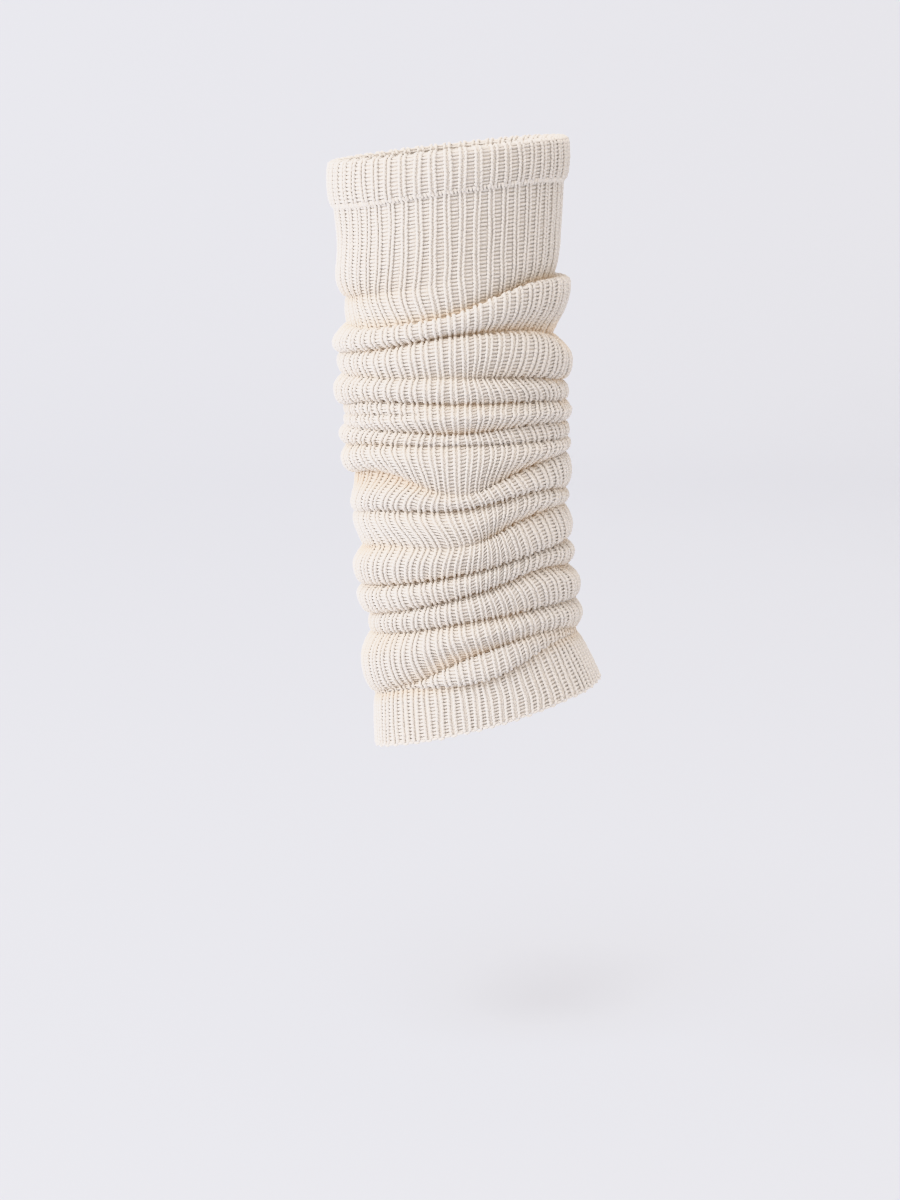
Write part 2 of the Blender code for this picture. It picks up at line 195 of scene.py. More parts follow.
Bend = namedtuple("Bend", "across down out")
KNIT = (Bend(1.36, -1.2, 0.0), Bend(1.06, 0.0, 0.42), Bend(0.44, 1.15, 0.2))
BAR_END = Bend(RIB_PITCH / 2 - 1.0, 0.45, -0.56)
BAR_CROWN = Bend(0.0, -0.35, -0.36)
LINK = (Bend(-0.55, -1.7, 1.1), Bend(0.0, -0.4, 0.9), Bend(0.55, 1.0, 0.0))
LINKS_PER_RIB = 4
HEM_START, HEM_END = Bend(-1.9, 0.1, 0.1), Bend(1.9, 0.25, -0.15)
HEM_OUT = 0.45
HEM_HANGS = (0.75, 0.1)  # how low the loops hang, by turns: under a rib and under a channel
KNIT_JITTER = 0.035      # how unevenly each kind of stitch lies
BAR_JITTER = 0.05
LINK_JITTER = 0.06

# Slow unevenness of hand-fed yarn: its size in rib pitches, and its waves by course and rib

Sway = namedtuple("Sway", "size course rib")
SWAYS = (Sway(0.036, 0.23, 2.4), Sway(0.030, 0.071, 5.1), Sway(0.012, 0.61, 1.3))
BAR_SWAY = 0.6           # a bar follows this much of it

# Room on a wall's bake map, from its foot up: the outer face, the inner face and the two rims

OUTER_TO = 0.62
INNER_FROM, INNER_TO = 0.64, 0.97
TOP_RIM_AT, LOW_RIM_AT, RIM_ROOM = 0.98, 0.99, 0.008
TUBE_MARGIN = 0.04       # a stitch leaves this much of its own square free at each edge

# The yarn's finish: how fine its patches are, in patches a metre, and how deep its relief is

DRIFT_SCALE = 28.0
FLECK_SCALE = 900.0
YARN_FIBRE_SCALE = 5200.0
GROUND_FIBRE_SCALE = 3600.0
YARN_RELIEF = 0.00006    # metres
GROUND_RELIEF = 0.0004
TWISTS = 22.0            # turns of the ply along a stitch, in radians
PAINTED_GLOW_STRENGTH = 0.05              # strength of the painted glow deep in a fold: the yarn emits it, standing in for light scattered in the wool

# The stage, in metres: the floor, and where its backdrop leaves it and with which radius

FLOOR_SIZE = 16
FLOOR_ROWS = 160
SWEEP_FROM = 2.2
SWEEP_RADIUS = 1.6

Lamp = namedtuple("Lamp", "name place size power")
LAMPS = (Lamp("key", (-6.0, -1.9, 2.8), 5.0, 400.0), Lamp("high", (-1.0, -3.0, 5.0), 3.0, 100.0))
LAMP_COLOUR = (0.93, 0.965, 1.0)
LAMPS_AIM = (0, 0, -0.13)
SKY_COLOUR = (0.93, 0.855, 0.775, 1.0)
SKY_STRENGTH = 0.96

# The picture is 1200 pixels high and was taken with a lens 3584 pixels long

SENSOR_HEIGHT = 36.0
LENS = SENSOR_HEIGHT * 3584 / 1200
CAMERA_AIM = (0.001, 0, -0.202)


def around(near, angle, far=0.0, flip=1.0):
    """A smooth closed curve round the leg through eight places; the far half mirrors the near."""
    shin, shin_quarter, side, heel_quarter, heel = near
    places = [shin, shin_quarter, side, heel_quarter, heel,
              flip * heel_quarter + FAR_QUARTER * far, flip * side + far,
              flip * shin_quarter + FAR_QUARTER * far]
    eighth = np.mod(angle / (math.pi / 4), 8.0)
    first = np.floor(eighth).astype(int)
    t = eighth - first
    values = np.array(places, dtype=float)
    before, here, after, later = (values[(first + step) % 8] for step in (-1, 0, 1, 2))
    slope_here = (after - before) / 2
    slope_after = (later - here) / 2
    return ((2 * t ** 3 - 3 * t ** 2 + 1) * here + (t ** 3 - 2 * t ** 2 + t) * slope_here
            + (3 * t ** 2 - 2 * t ** 3) * after + (t ** 3 - t ** 2) * slope_after)


def three_places(values, angle):
    shin, side, heel = values
    return around((shin, (shin + side) / 2, side, (side + heel) / 2, heel), angle)


def ribs_drawn(lean, height, angle):
    """How far the ribs are drawn towards the heel, which turns the other way on the far side."""
    shin_quarter, side, heel_quarter = lean
    drawn = around((0, shin_quarter, side, heel_quarter, 0), angle, flip=-1.0)
    return drawn + DRAWN_RADIUS * even_spread(height) * np.sin(2 * angle)


def leg_at(measure, height):
    """A named measure of the leg section at a height."""
    heights = [-section.height for section in LEG]
    return np.interp(-height, heights, [getattr(section, measure) for section in LEG])


def even_spread(height):
    """The turn that spaces the ribs evenly round the oval leg section at a height."""
    depth, width = leg_at("half_depth", height), leg_at("half_width", height)
    return (depth ** 2 - width ** 2) / (depth ** 2 + width ** 2) / 4


def on_leg(angle, height, stand_off):
    """The point at a height and an angle, a distance outside the leg section."""
    depth = leg_at("half_depth", height) + stand_off
    width = leg_at("half_width", height) + stand_off
    return np.stack([leg_at("centre", height) - depth * np.cos(angle), -width * np.sin(angle),
                     height], axis=-1)


def lip(t):
    """Where a lap bends its roll: nothing at the crease, most at the shoulder beside it."""
    along = np.clip((t - LIP_FROM) / (1 - LIP_FROM), 0, 1)
    return np.sin(math.pi * along ** LIP_SKEW)


def crease_at(index, angle):
    """Height, stand-off, lap and drawn ribs at the crease under a roll, or at the welt's seam."""
    if index < 0:
        flat = np.zeros_like(angle)
        drawn = ribs_drawn((0, 0, 0), SEAM_LINE[2], angle)
        return around(SEAM_LINE, angle) - SEAM_GAP, flat, flat, drawn
    fold = FOLDS[index]
    return (around(fold.height, angle, fold.far), around(fold.dip, angle),
            around(fold.lap, angle), ribs_drawn(fold.lean, fold.height[2], angle))


def roundness(lap):
    """The power of a roll's arch: fuller beside a crease it laps, hollow where it is lapped."""
    return ROLL_ROUNDNESS * (1 + HOLLOW * np.clip(-lap, 0, FULL_LAP) / FULL_LAP
                             - FULLER * np.clip(lap, 0, FULL_LAP) / FULL_LAP)


def roll_point(index, t, rib_angle):
    """A point of the cloth under the ribs, t down the roll."""
    drawn_top = crease_at(index - 1, rib_angle)[3]
    drawn_low = crease_at(index, rib_angle)[3]
    ease = t ** LATE_BEND if index == 0 else t * t * (3 - 2 * t)
    angle = rib_angle + (drawn_top + (drawn_low - drawn_top) * ease) / DRAWN_RADIUS
    top, top_dip, top_lap, _ = crease_at(index - 1, angle)
    low, low_dip, low_lap, _ = crease_at(index, angle)
    fold = FOLDS[index]
    peak = three_places(fold.peak, angle)
    roll = around(fold.roll, angle, far=FAR_SWELL * (-1) ** index)
    gentle = np.where((t - peak) * (0.5 - peak) > 0, np.abs(1 - 2 * peak), 0.0)
    power = np.where(t < peak, roundness(-top_lap), roundness(low_lap)) + LONG_SIDE * gentle
    swell = np.clip(np.sin(math.pi * t ** (math.log(0.5) / np.log(peak))), 0, 1) ** power
    between = top_dip + (low_dip - top_dip) * t
    at_peak = top_dip + (low_dip - top_dip) * peak
    stand_off = between + swell * (roll - at_peak)
    most = LAP_SHARE * (top - low)
    hangs = np.clip(low_lap, 0, most)
    laps_up = np.clip(-top_lap, 0, most)
    height = top + (low - top) * t - hangs * lip(t) + laps_up * lip(1 - t)
    return on_leg(angle, height, stand_off - RIB_HEIGHT)


def tube_rings():
    """Close rings of the tube from the seam down, and which of them lie in a crease."""
    angle = rib_angles()
    seam = roll_point(0, 0.0, angle)
    rings = [seam + np.array([0, 0, SEAM_TUCK]), seam]
    creases = []
    for index in range(len(FOLDS)):
        for step in range(1, ROLL_SAMPLES + 1):
            t = 0.5 - 0.5 * math.cos(math.pi * step / ROLL_SAMPLES)
            rings.append(roll_point(index, t, angle))
        creases.append(len(rings) - 1)
    return np.array(rings), creases


def rib_angles():
    count = RIBS * GRID_PER_RIB
    return np.arange(count) * (2 * math.pi / count)


def smooth_path(path):
    """Points of a smooth curve through a path's points."""
    points = np.array(path, dtype=float)
    padded = np.vstack([2 * points[0] - points[1], points, 2 * points[-1] - points[-2]])
    curve = []
    for k in range(1, len(padded) - 2):
        a, b, c, d = padded[k - 1:k + 3]
        for t in np.linspace(0, 1, PATH_SAMPLES, endpoint=False):
            curve.append(0.5 * (2 * b + (c - a) * t + (2 * a - 5 * b + 4 * c - d) * t * t
                                + (3 * b - a - 3 * c + d) * t ** 3))
    curve.append(points[-1])
    return np.array(curve)


def band_rings(path, top_line, low_line, drop=0.0):
    """Rings of a band that follows a path between two lines round the leg."""
    angle = rib_angles()
    rings = []
    for down, stand_off in smooth_path(path):
        middle = top_line[2] + (low_line[2] - top_line[2]) * down
        turned = angle + ribs_drawn((0, 0, 0), middle, angle) / DRAWN_RADIUS
        top = around(top_line, turned) - drop
        low = around(low_line, turned)
        rings.append(on_leg(turned, top + (low - top) * down, stand_off - RIB_HEIGHT))
    return np.array(rings)


class Cloth:
    """A knitted surface laid out by rib and course, so that stitches can be set on it."""

    def __init__(self, rings, creases=(), slack=(0.0, 0.0), top_shade_reach=0.0):
        steps = np.linalg.norm(np.diff(rings, axis=0), axis=2)
        arc = np.vstack([np.zeros(rings.shape[1]), np.cumsum(steps, axis=0)])
        self.length = float(arc[-1].mean())
        self.courses = max(3, round(self.length / COURSE))
        self.slack = slack
        rows = max(8, round(self.length / GRID_STEP)) + 1
        share = np.ones(arc.shape)
        for row in creases:
            away = np.clip(np.abs(arc - arc[row]) / FADE_LENGTH, 0, 1)
            share = np.minimum(share, FADE_LEFT + (1 - FADE_LEFT) * away * away * (3 - 2 * away))
        even = np.linspace(0, 1, rows)
        grid = np.empty((rows, rings.shape[1], 4))
        for column in range(rings.shape[1]):
            down = arc[:, column] / arc[-1, column]
            for axis in range(3):
                grid[:, column, axis] = np.interp(even, down, rings[:, column, axis])
            grid[:, column, 3] = np.interp(even, down, share[:, column])
        self.points = grid[:, :, :3]
        self.normals = self.outward()
        # The hollow mask flattens the stitches in a fold, and also carries the painted tan shade
        # and the painted glow there.
        self.hollow = self.hollows() if len(creases) else np.zeros(grid.shape[:2])
        # Painted shade: the top of the band, under the roll above it, takes the fold's painted tan
        # and glow.
        if top_shade_reach:
            self.hollow += np.clip(1 - even * self.length / top_shade_reach, 0, 1)[:, None]
        self.share = 1 - (1 - grid[:, :, 3]) * self.hollow

    def hollows(self):
        """How deep each point lies under the crests beside it: 0 on a crest, 1 deep in a fold."""
        middle = self.points.mean(axis=1, keepdims=True)
        radius = np.hypot(*np.moveaxis(self.points - middle, 2, 0)[:2])
        rows = len(radius)
        reach = min(rows - 1, round(HOLLOW_REACH / self.length * rows))
        padded = np.pad(radius, ((reach, reach), (0, 0)), mode="edge")
        crest = np.max([padded[k:k + rows] for k in range(2 * reach + 1)], axis=0)
        depth = np.clip((crest - radius) / HOLLOW_DEPTH, 0, 1)
        return depth * depth * (3 - 2 * depth)

    def slack_at(self, down):
        """How far the ribs have drawn together, closing the channels between them: 0 to 1."""
        t = np.clip((down * self.length - STRETCHED_FOR) / SLACK_WITHIN, 0, 1)
        return self.slack[0] + (self.slack[1] - self.slack[0]) * t

    def outward(self):
        across = np.roll(self.points, -1, axis=1) - np.roll(self.points, 1, axis=1)
        down = np.gradient(self.points, axis=0)
        normal = np.cross(down, across)
        normal /= np.linalg.norm(normal, axis=2, keepdims=True)
        for _ in range(2):
            padded = np.concatenate([normal[:1], normal, normal[-1:]])
            normal = padded[:-2] + 2 * padded[1:-1] + padded[2:]
            normal /= np.linalg.norm(normal, axis=2, keepdims=True)
        return normal

    def read(self, table, rib, down):
        """Bilinear reading of a table at rib numbers and shares of the way down."""
        rows, columns = table.shape[:2]
        x = np.mod(rib, RIBS) * GRID_PER_RIB
        y = np.clip(down, 0, 1) * (rows - 1)
        x0 = np.floor(x).astype(int)
        y0 = np.minimum(np.floor(y).astype(int), rows - 2)
        fx, fy = x - x0, y - y0
        if table.ndim == 3:
            fx, fy = fx[..., None], fy[..., None]
        x0 = x0 % columns
        x1 = (x0 + 1) % columns
        upper = table[y0, x0] * (1 - fx) + table[y0, x1] * fx
        lower = table[y0 + 1, x0] * (1 - fx) + table[y0 + 1, x1] * fx
        return upper * (1 - fy) + lower * fy

    def place(self, rib, down, out):
        """Points in millimetres, out along the cloth's own outward direction."""
        point = self.read(self.points, rib, down)
        normal = self.read(self.normals, rib, down)
        normal /= np.linalg.norm(normal, axis=-1, keepdims=True)
        within = np.clip(down, 0, 1)
        beyond = (down - within) * self.length
        way = (self.read(self.points, rib, within + WAY_STEP)
               - self.read(self.points, rib, within - WAY_STEP))
        way /= np.maximum(np.linalg.norm(way, axis=-1, keepdims=True), 1e-9)
        return point + normal * out[..., None] + way * beyond[..., None]


def make_piece(name, verts, faces, material, maps, hollow):
    """A mesh object in metres at the origin, with a pair for each corner in each of its maps."""
    mesh = bpy.data.meshes.new(name)
    faces = np.asarray(faces, dtype=np.int32)
    size = faces.shape[1]
    mesh.vertices.add(len(verts))
    mesh.vertices.foreach_set("co", (np.asarray(verts) * MM).astype(np.float32).ravel())
    mesh.loops.add(faces.size)
    mesh.loops.foreach_set("vertex_index", faces.ravel())
    mesh.polygons.add(len(faces))
    mesh.polygons.foreach_set("loop_start", np.arange(0, faces.size, size, dtype=np.int32))
    mesh.update(calc_edges=True)
    mesh.polygons.foreach_set("use_smooth", np.full(len(faces), True))
    deep = mesh.attributes.new("Hollow", "FLOAT", "POINT")
    deep.data.foreach_set("value", np.asarray(hollow, dtype=np.float32).ravel())
    for title, pairs in maps.items():
        layer = mesh.uv_layers.new(name=title)
        layer.data.foreach_set("uv", np.asarray(pairs, dtype=np.float32).ravel())
    mesh.materials.append(material)
    piece = bpy.data.objects.new(name, mesh)
    bpy.context.scene.collection.objects.link(piece)
    return piece


def halved(a, b, d, e):
    """Each quad of corners a and b, with d and e under them, as two triangles."""
    return np.stack([np.stack([a, d, e], -1), np.stack([a, e, b], -1)], axis=-2).reshape(-1, 3)


def grid_faces(rows, columns, first=0, close=False):
    """Triangles of a grid that is closed round the leg, and with close also from end to end."""
    row_list = np.arange(rows if close else rows - 1)
    r, c = np.meshgrid(row_list, np.arange(columns), indexing="ij")
    here, below = first + r * columns, first + (r + 1) % rows * columns
    right = (c + 1) % columns
    return halved(here + c, here + right, below + c, below + right)


def grid_map(rows, columns, low, high, close=False):
    """A flat place for each corner of grid_faces, inside the box from low to high."""
    steps = rows if close else rows - 1
    r, c = np.meshgrid(np.arange(steps), np.arange(columns), indexing="ij")
    x0, x1 = c / columns, (c + 1) / columns
    y0, y1 = r / steps, (r + 1) / steps
    a, b, d, e = (x0, y0), (x1, y0), (x0, y1), (x1, y1)
    flat = np.stack([np.stack(corner, -1) for corner in (a, d, e, a, e, b)], axis=2)
    return np.array(low) + flat.reshape(-1, 2) * (np.array(high) - np.array(low))


def turned_over(faces, flat):
    """Faces and their flat places with the other side out."""
    return faces[:, ::-1], flat.reshape(-1, 3, 2)[:, ::-1].reshape(-1, 2)


def base_relief(rib, share):
    """Height of the ground cloth: low in a purl channel, and raised under each rib."""
    phase = np.mod(rib + 0.5, 1.0) - 0.5
    pad = np.clip(PAD_WIDTH - np.abs(phase) * PAD_STEEP, 0, 1)
    return -GROUND_UNDER - CHANNEL_UNDER * share + share * PAD_HEIGHT * pad


def ground_places(per_rib, rows):
    """Rib numbers and shares of the way down for a grid of ground cloth."""
    return np.meshgrid(np.arange(RIBS * per_rib) / per_rib, np.linspace(0, 1, rows))


def ground_points(cloth, per_rib, rows, under=None):
    """The ground cloth's outer points, or with under its plain inner points."""
    rib, down = ground_places(per_rib, rows)
    share = cloth.read(cloth.share, rib, down)
    if under is None:
        out = base_relief(rib, share)
    else:
        out = -INNER_UNDER - under + INNER_RIBS * np.cos(2 * math.pi * rib)
    return cloth.place(rib, down, out).reshape(-1, 3)


def ground_wall(name, cloth, material, per_rib, rows, inner_rows):
    """A thin closed tube of ground cloth: relief outside, soft ribs inside, closed at its ends."""
    columns = RIBS * per_rib
    outer = ground_points(cloth, per_rib, rows)
    inner = ground_points(cloth, per_rib, inner_rows, under=WALL_UNDER)
    start = len(outer)
    column = np.arange(columns)
    right = (column + 1) % columns
    top_rim, low_rim = (
        (halved(out + column, out + right, within + column, within + right),
         grid_map(2, columns, (0.0, low), (1.0, low + RIM_ROOM)))
        for out, within, low in ((0, start, TOP_RIM_AT),
                                 (start - columns, start + len(inner) - columns, LOW_RIM_AT)))
    outside = (grid_faces(rows, columns), grid_map(rows, columns, (0.0, 0.0), (1.0, OUTER_TO)))
    inside = (grid_faces(inner_rows, columns, first=start),
              grid_map(inner_rows, columns, (0.0, INNER_FROM), (1.0, INNER_TO)))
    faces, maps = zip(outside, turned_over(*inside), turned_over(*top_rim), low_rim)
    bake = np.concatenate(maps)
    yarn = bake * np.array([RIBS, cloth.courses / OUTER_TO])
    hollow = np.concatenate([cloth.read(cloth.hollow, *ground_places(per_rib, rows)).ravel(),
                             np.zeros(len(inner))])
    return make_piece(name, np.concatenate([outer, inner]), np.concatenate(faces), material,
                      {"Yarn": yarn, "OFBake": bake}, hollow)


def ground_ring(name, cloth, material, per_rib, rows):
    """Ground cloth that is its own lining: a band turned over and closed along its foot."""
    columns = RIBS * per_rib
    points = ground_points(cloth, per_rib, rows)
    faces = grid_faces(rows, columns, close=True)
    bake = grid_map(rows, columns, (0.0, 0.0), (1.0, 1.0), close=True)
    yarn = bake * np.array([RIBS, cloth.courses])
    return make_piece(name, points, faces, material, {"Yarn": yarn, "OFBake": bake},
                      np.zeros(len(points)))


# A stitch's yarn as a short tapered tube: rings of sides along an axis, with a tip at each end.
# Across, down and out are a left-handed frame, so faces wound inwards here point outwards there.

def grain(sides, stations):
    """Unit tube points as (along, round, radius), and triangles. Stations: (along, radius)."""
    points = [(0.0, 0.0, 0.0)]
    for along, radius in stations:
        points += [(along, k / sides, radius) for k in range(sides)]
    points.append((1.0, 0.0, 0.0))
    last = len(points) - 1
    faces = [(0, 1 + k, 1 + (k + 1) % sides) for k in range(sides)]
    for ring in range(len(stations) - 1):
        for k in range(sides):
            a, b = 1 + ring * sides + k, 1 + ring * sides + (k + 1) % sides
            faces += [(a, b + sides, b), (a, a + sides, b + sides)]
    base = 1 + (len(stations) - 1) * sides
    faces += [(base + k, last, base + (k + 1) % sides) for k in range(sides)]
    return np.array(points), np.array(faces)


LEG_GRAIN = grain(6, [(0.22, 0.9), (0.76, 0.9)])
BAR_GRAIN = grain(5, [(0.2, 0.95), (0.8, 0.95)])
LINK_GRAIN = grain(6, [(0.15, 0.8), (0.5, 1.0), (0.85, 0.8)])


def bent_tubes(shape, start, middle, end, radius):
    """Tubes along bent axes in stitch millimetres (across, down, out); one row for each tube."""
    points, _ = shape
    along = points[:, 0][None, :, None]
    turn = points[:, 1] * 2 * math.pi
    thick = points[:, 2]
    start, middle, end = (np.asarray(p)[:, None, :] for p in (start, middle, end))
    bend = 2 * middle - 0.5 * (start + end)
    axis = (1 - along) ** 2 * start + 2 * along * (1 - along) * bend + along ** 2 * end
    way = end - start
    way = way / np.linalg.norm(way, axis=2, keepdims=True)
    out = np.zeros_like(way)
    out[..., 2] = 1.0
    side = np.cross(out, way)
    side /= np.linalg.norm(side, axis=2, keepdims=True)
    up = np.cross(way, side)
    spread = ((np.cos(turn) * thick)[None, :, None] * side
              + (np.sin(turn) * thick)[None, :, None] * up)
    return axis + spread * np.asarray(radius)[:, None, None]


def spots(bend, count):
    """A bend's place for each of count stitches; a value of it may be a row of values."""
    return np.stack([np.broadcast_to(value, count) for value in bend], -1).astype(float)


def leg_tubes(slack, thin, rng):
    """Both legs of knit stitches, as stitch-local tubes: each pair closes to a V at its foot."""
    shapes = []
    count = len(slack)
    wider = 0.5 * slack
    for side in (-1.0, 1.0):
        jitter = rng.normal(0, KNIT_JITTER, (count, 3))
        head, knee, foot = (
            spots(bend._replace(across=side * (bend.across + share * wider)), count) + jitter
            for bend, share in zip(KNIT, (1.0, 1.0, 0.8)))
        radius = CORD_RADIUS * (1 + SLACK_FULLER * slack) * thin * rng.normal(1.0, 0.04, count)
        shapes.append(bent_tubes(LEG_GRAIN, head, knee, foot, radius))
    return shapes


def bar_tubes(thin, rng):
    """The bar of each purl stitch, arched a little upwards."""
    count = len(thin)
    jitter = rng.normal(0, BAR_JITTER, (count, 3))
    left, crown, right = (spots(bend, count) + jitter for bend in
                          (BAR_END._replace(across=-BAR_END.across), BAR_CROWN, BAR_END))
    radius = BAR_RADIUS * thin * rng.normal(1.0, 0.05, count)
    return [bent_tubes(BAR_GRAIN, left, crown, right, radius)]


def set_on_cloth(cloth, tubes, rib, down):
    """Stitch-local tubes moved onto the cloth, where they bend and fade with it."""
    share = cloth.read(cloth.share, rib, down)
    rib_at = rib[:, None] + tubes[..., 0] / RIB_PITCH
    down_at = down[:, None] + tubes[..., 1] / cloth.length
    out = tubes[..., 2] * (FLATTEST + (1 - FLATTEST) * share[:, None])
    return cloth.place(rib_at, down_at, out)


def rib_sway(rib, course):
    """How far a rib strays at a course, in rib pitches."""
    return sum(sway.size * np.sin(course * sway.course + rib * sway.rib) for sway in SWAYS)


def stitches(name, cloth, ribs, material, seed):
    """A joined mesh of knit stitches down each rib and purl bars down each channel."""
    rng = np.random.default_rng(seed)
    numbers = np.meshgrid(ribs, np.arange(cloth.courses))
    rib, course = (number.ravel().astype(float) for number in numbers)
    down = (course + 0.5) / cloth.courses
    sway = rib_sway(rib, course)
    slack = cloth.slack_at(down)
    thin = THIN_IN_CREASE + (1 - THIN_IN_CREASE) * cloth.read(cloth.share, rib, down)
    batches = [(LEG_GRAIN, tubes, rib + sway) for tubes in leg_tubes(slack, thin, rng)]
    batches += [(BAR_GRAIN, tubes, rib + 0.5 + sway * BAR_SWAY) for tubes in bar_tubes(thin, rng)]
    return join_tubes(name, cloth, [(shape, tubes, at, down) for shape, tubes, at in batches],
                      material)


def join_tubes(name, cloth, batches, material):
    """One mesh from batches of tubes, each tube with its own square on the bake map."""
    total = sum(len(tubes) for _, tubes, _, _ in batches)
    across = math.ceil(math.sqrt(total))
    verts, faces, yarn, bake, hollow = [], [], [], [], []
    first = done = 0
    for (points, shape_faces), tubes, rib, down in batches:
        placed = set_on_cloth(cloth, tubes, rib, down)
        count, size = placed.shape[:2]
        verts.append(placed.reshape(-1, 3))
        hollow.append(np.repeat(cloth.read(cloth.hollow, rib, down), size))
        offset = first + np.arange(count)[:, None, None] * size
        faces.append((shape_faces[None] + offset).reshape(-1, 3))
        corner = unrolled(points, shape_faces)
        yarn.append(np.broadcast_to(corner, (count,) + corner.shape).reshape(-1, 2))
        cell = done + np.arange(count)
        place = np.stack([cell % across, cell // across], -1)[:, None, None, :]
        inside = TUBE_MARGIN + (1 - 2 * TUBE_MARGIN) * corner[None]
        bake.append(((place + inside) / across).reshape(-1, 2))
        first += count * size
        done += count
    return make_piece(name, np.concatenate(verts), np.concatenate(faces), material,
                      {"Yarn": np.concatenate(yarn), "OFBake": np.concatenate(bake)},
                      np.concatenate(hollow))


def link_row(name, cloth, bends, radius, per_rib, down, material, rng):
    """A row of stitches round the cloth that links it or casts it off, a share of the way down."""
    count = RIBS * per_rib
    jitter = rng.normal(0, LINK_JITTER, (count, 3))
    start, middle, end = (spots(bend, count) + jitter for bend in bends)
    tubes = bent_tubes(LINK_GRAIN, start, middle, end, np.full(count, radius))
    row = (LINK_GRAIN, tubes, np.arange(count) / per_rib, np.full(count, down))
    return join_tubes(name, cloth, [row], material)


def unrolled(points, faces):
    """The tube's surface opened flat in a unit square: along it, and round it with no wrap."""
    corner = points[faces][..., :2].copy()
    turn = corner[..., 1]
    tip = points[faces][..., 2] == 0
    for k in range(len(faces)):
        ring = turn[k][~tip[k]]
        if ring.max() - ring.min() > 0.5:
            turn[k][(turn[k] < 0.5) & ~tip[k]] += 1.0
        turn[k][tip[k]] = turn[k][~tip[k]].mean()
    return corner


# Shader maths: a wrapped socket that adds its Math nodes as expressions are written

class Reading:
    """A number socket of a node tree."""

    def __init__(self, tree, socket):
        self.tree = tree
        self.socket = socket

    def math(self, operation, other=0.0):
        return self.tree.add("ShaderNodeMath", {"operation": operation}, [self, other])

    __add__ = partialmethod(math, "ADD")
    __sub__ = partialmethod(math, "SUBTRACT")
    __mul__ = partialmethod(math, "MULTIPLY")
    __pow__ = partialmethod(math, "POWER")
    sine = partialmethod(math, "SINE")

    def clamped(self):
        return self.math("MAXIMUM", 0.0).math("MINIMUM", 1.0)


class NodeTree:
    """A material's nodes, all of them added by one method."""

    def __init__(self, name):
        self.material = bpy.data.materials.new(name)
        self.material.use_nodes = True
        self.tree = self.material.node_tree
        self.shader = self.tree.nodes["Principled BSDF"]

    def add(self, kind, settings=None, inputs=None, output=0):
        node = self.tree.nodes.new(kind)
        for key, value in (settings or {}).items():
            setattr(node, key, value)
        items = inputs.items() if isinstance(inputs, dict) else enumerate(inputs or [])
        for key, value in items:
            self.feed(node.inputs[key], value)
        return Reading(self, node.outputs[output])

    def feed(self, socket, value):
        if isinstance(value, Reading):
            self.tree.links.new(value.socket, socket)
        else:
            socket.default_value = value

    def coordinates(self):
        return self.add("ShaderNodeTexCoord", output="Object")

    def yarn_place(self):
        """Along and round a stitch's yarn, or ribs and courses on the ground cloth."""
        place = self.add("ShaderNodeUVMap", {"uv_map": "Yarn"})
        along = self.add("ShaderNodeSeparateXYZ", inputs=[place], output="X")
        crosswise = self.add("ShaderNodeSeparateXYZ", inputs=[place], output="Y")
        return along, crosswise

    def hollow(self):
        """How deep in a fold the yarn lies."""
        return self.add("ShaderNodeAttribute", {"attribute_name": "Hollow"}, output="Fac")

    def noise(self, place, scale, detail=2.0, roughness=0.5):
        return self.add("ShaderNodeTexNoise", {"noise_dimensions": "3D"},
                        {"Vector": place, "Scale": scale, "Detail": detail, "Roughness": roughness})

    def mix(self, factor, first, second):
        return self.add("ShaderNodeMix", {"data_type": "RGBA"},
                        {"Factor": factor, 6: first, 7: second}, output=2)

    def bump(self, height, distance, strength):
        return self.add("ShaderNodeBump", None,
                        {"Height": height, "Distance": distance, "Strength": strength})

    def dress(self, inputs):
        """Feed the shader's named inputs, constants and sockets."""
        for name, value in inputs.items():
            self.feed(self.shader.inputs[name], value)


def wool_finish(nodes, sheen):
    """Soft sheen, and a painted glow: the yarn emits warm light in the depth of a fold, where no
    lamp reaches it.
    """
    # Painted light: the emission that lifts the shade deep in each fold.
    through = nodes.mix(nodes.hollow() ** 4, (0.0, 0.0, 0.0, 1.0), (*colours().painted_fold_glow, 1.0))
    nodes.dress({"Emission Color": through, "Emission Strength": PAINTED_GLOW_STRENGTH, "Sheen Weight": sheen,
                 "Sheen Roughness": 0.6, "Specular IOR Level": 0.2})


def shaded_colour(nodes, colour, shade, place):
    """Cream that drifts a little from stitch to stitch, with a painted shade: a darker tan deep in
    a fold.
    """
    patches = nodes.noise(place, DRIFT_SCALE, 1.0)
    flecks = nodes.noise(place, FLECK_SCALE, 2.0, 0.7)
    factor = ((patches - 0.5) * 0.9 + (flecks - 0.5) * 0.9 + 0.4).clamped()
    open_cloth = nodes.mix(factor, (*colour, 1.0), (*shade, 1.0))
    # Painted shade: the hollow mask mixes the fold tan into the yarn's colour deep in each fold.
    return nodes.mix(nodes.hollow(), open_cloth, (*colours().fold, 1.0))


def stitch_yarn(name, colour, shade):
    """Plied yarn: a twist that winds round each stitch, fine fibres, and soft cream drift."""
    nodes = NodeTree(name)
    place = nodes.coordinates()
    along, crosswise = nodes.yarn_place()
    twist = (along * TWISTS + crosswise * (4 * math.pi)).sine()
    fibres = nodes.noise(place, YARN_FIBRE_SCALE, 3.0, 0.7)
    height = twist * 0.5 + fibres * 0.8
    nodes.dress({"Normal": nodes.bump(height, YARN_RELIEF, 0.3),
                 "Base Color": shaded_colour(nodes, colour, shade, place),
                 "Roughness": fibres * 0.15 + 0.82})
    wool_finish(nodes, 0.6)
    return nodes.material


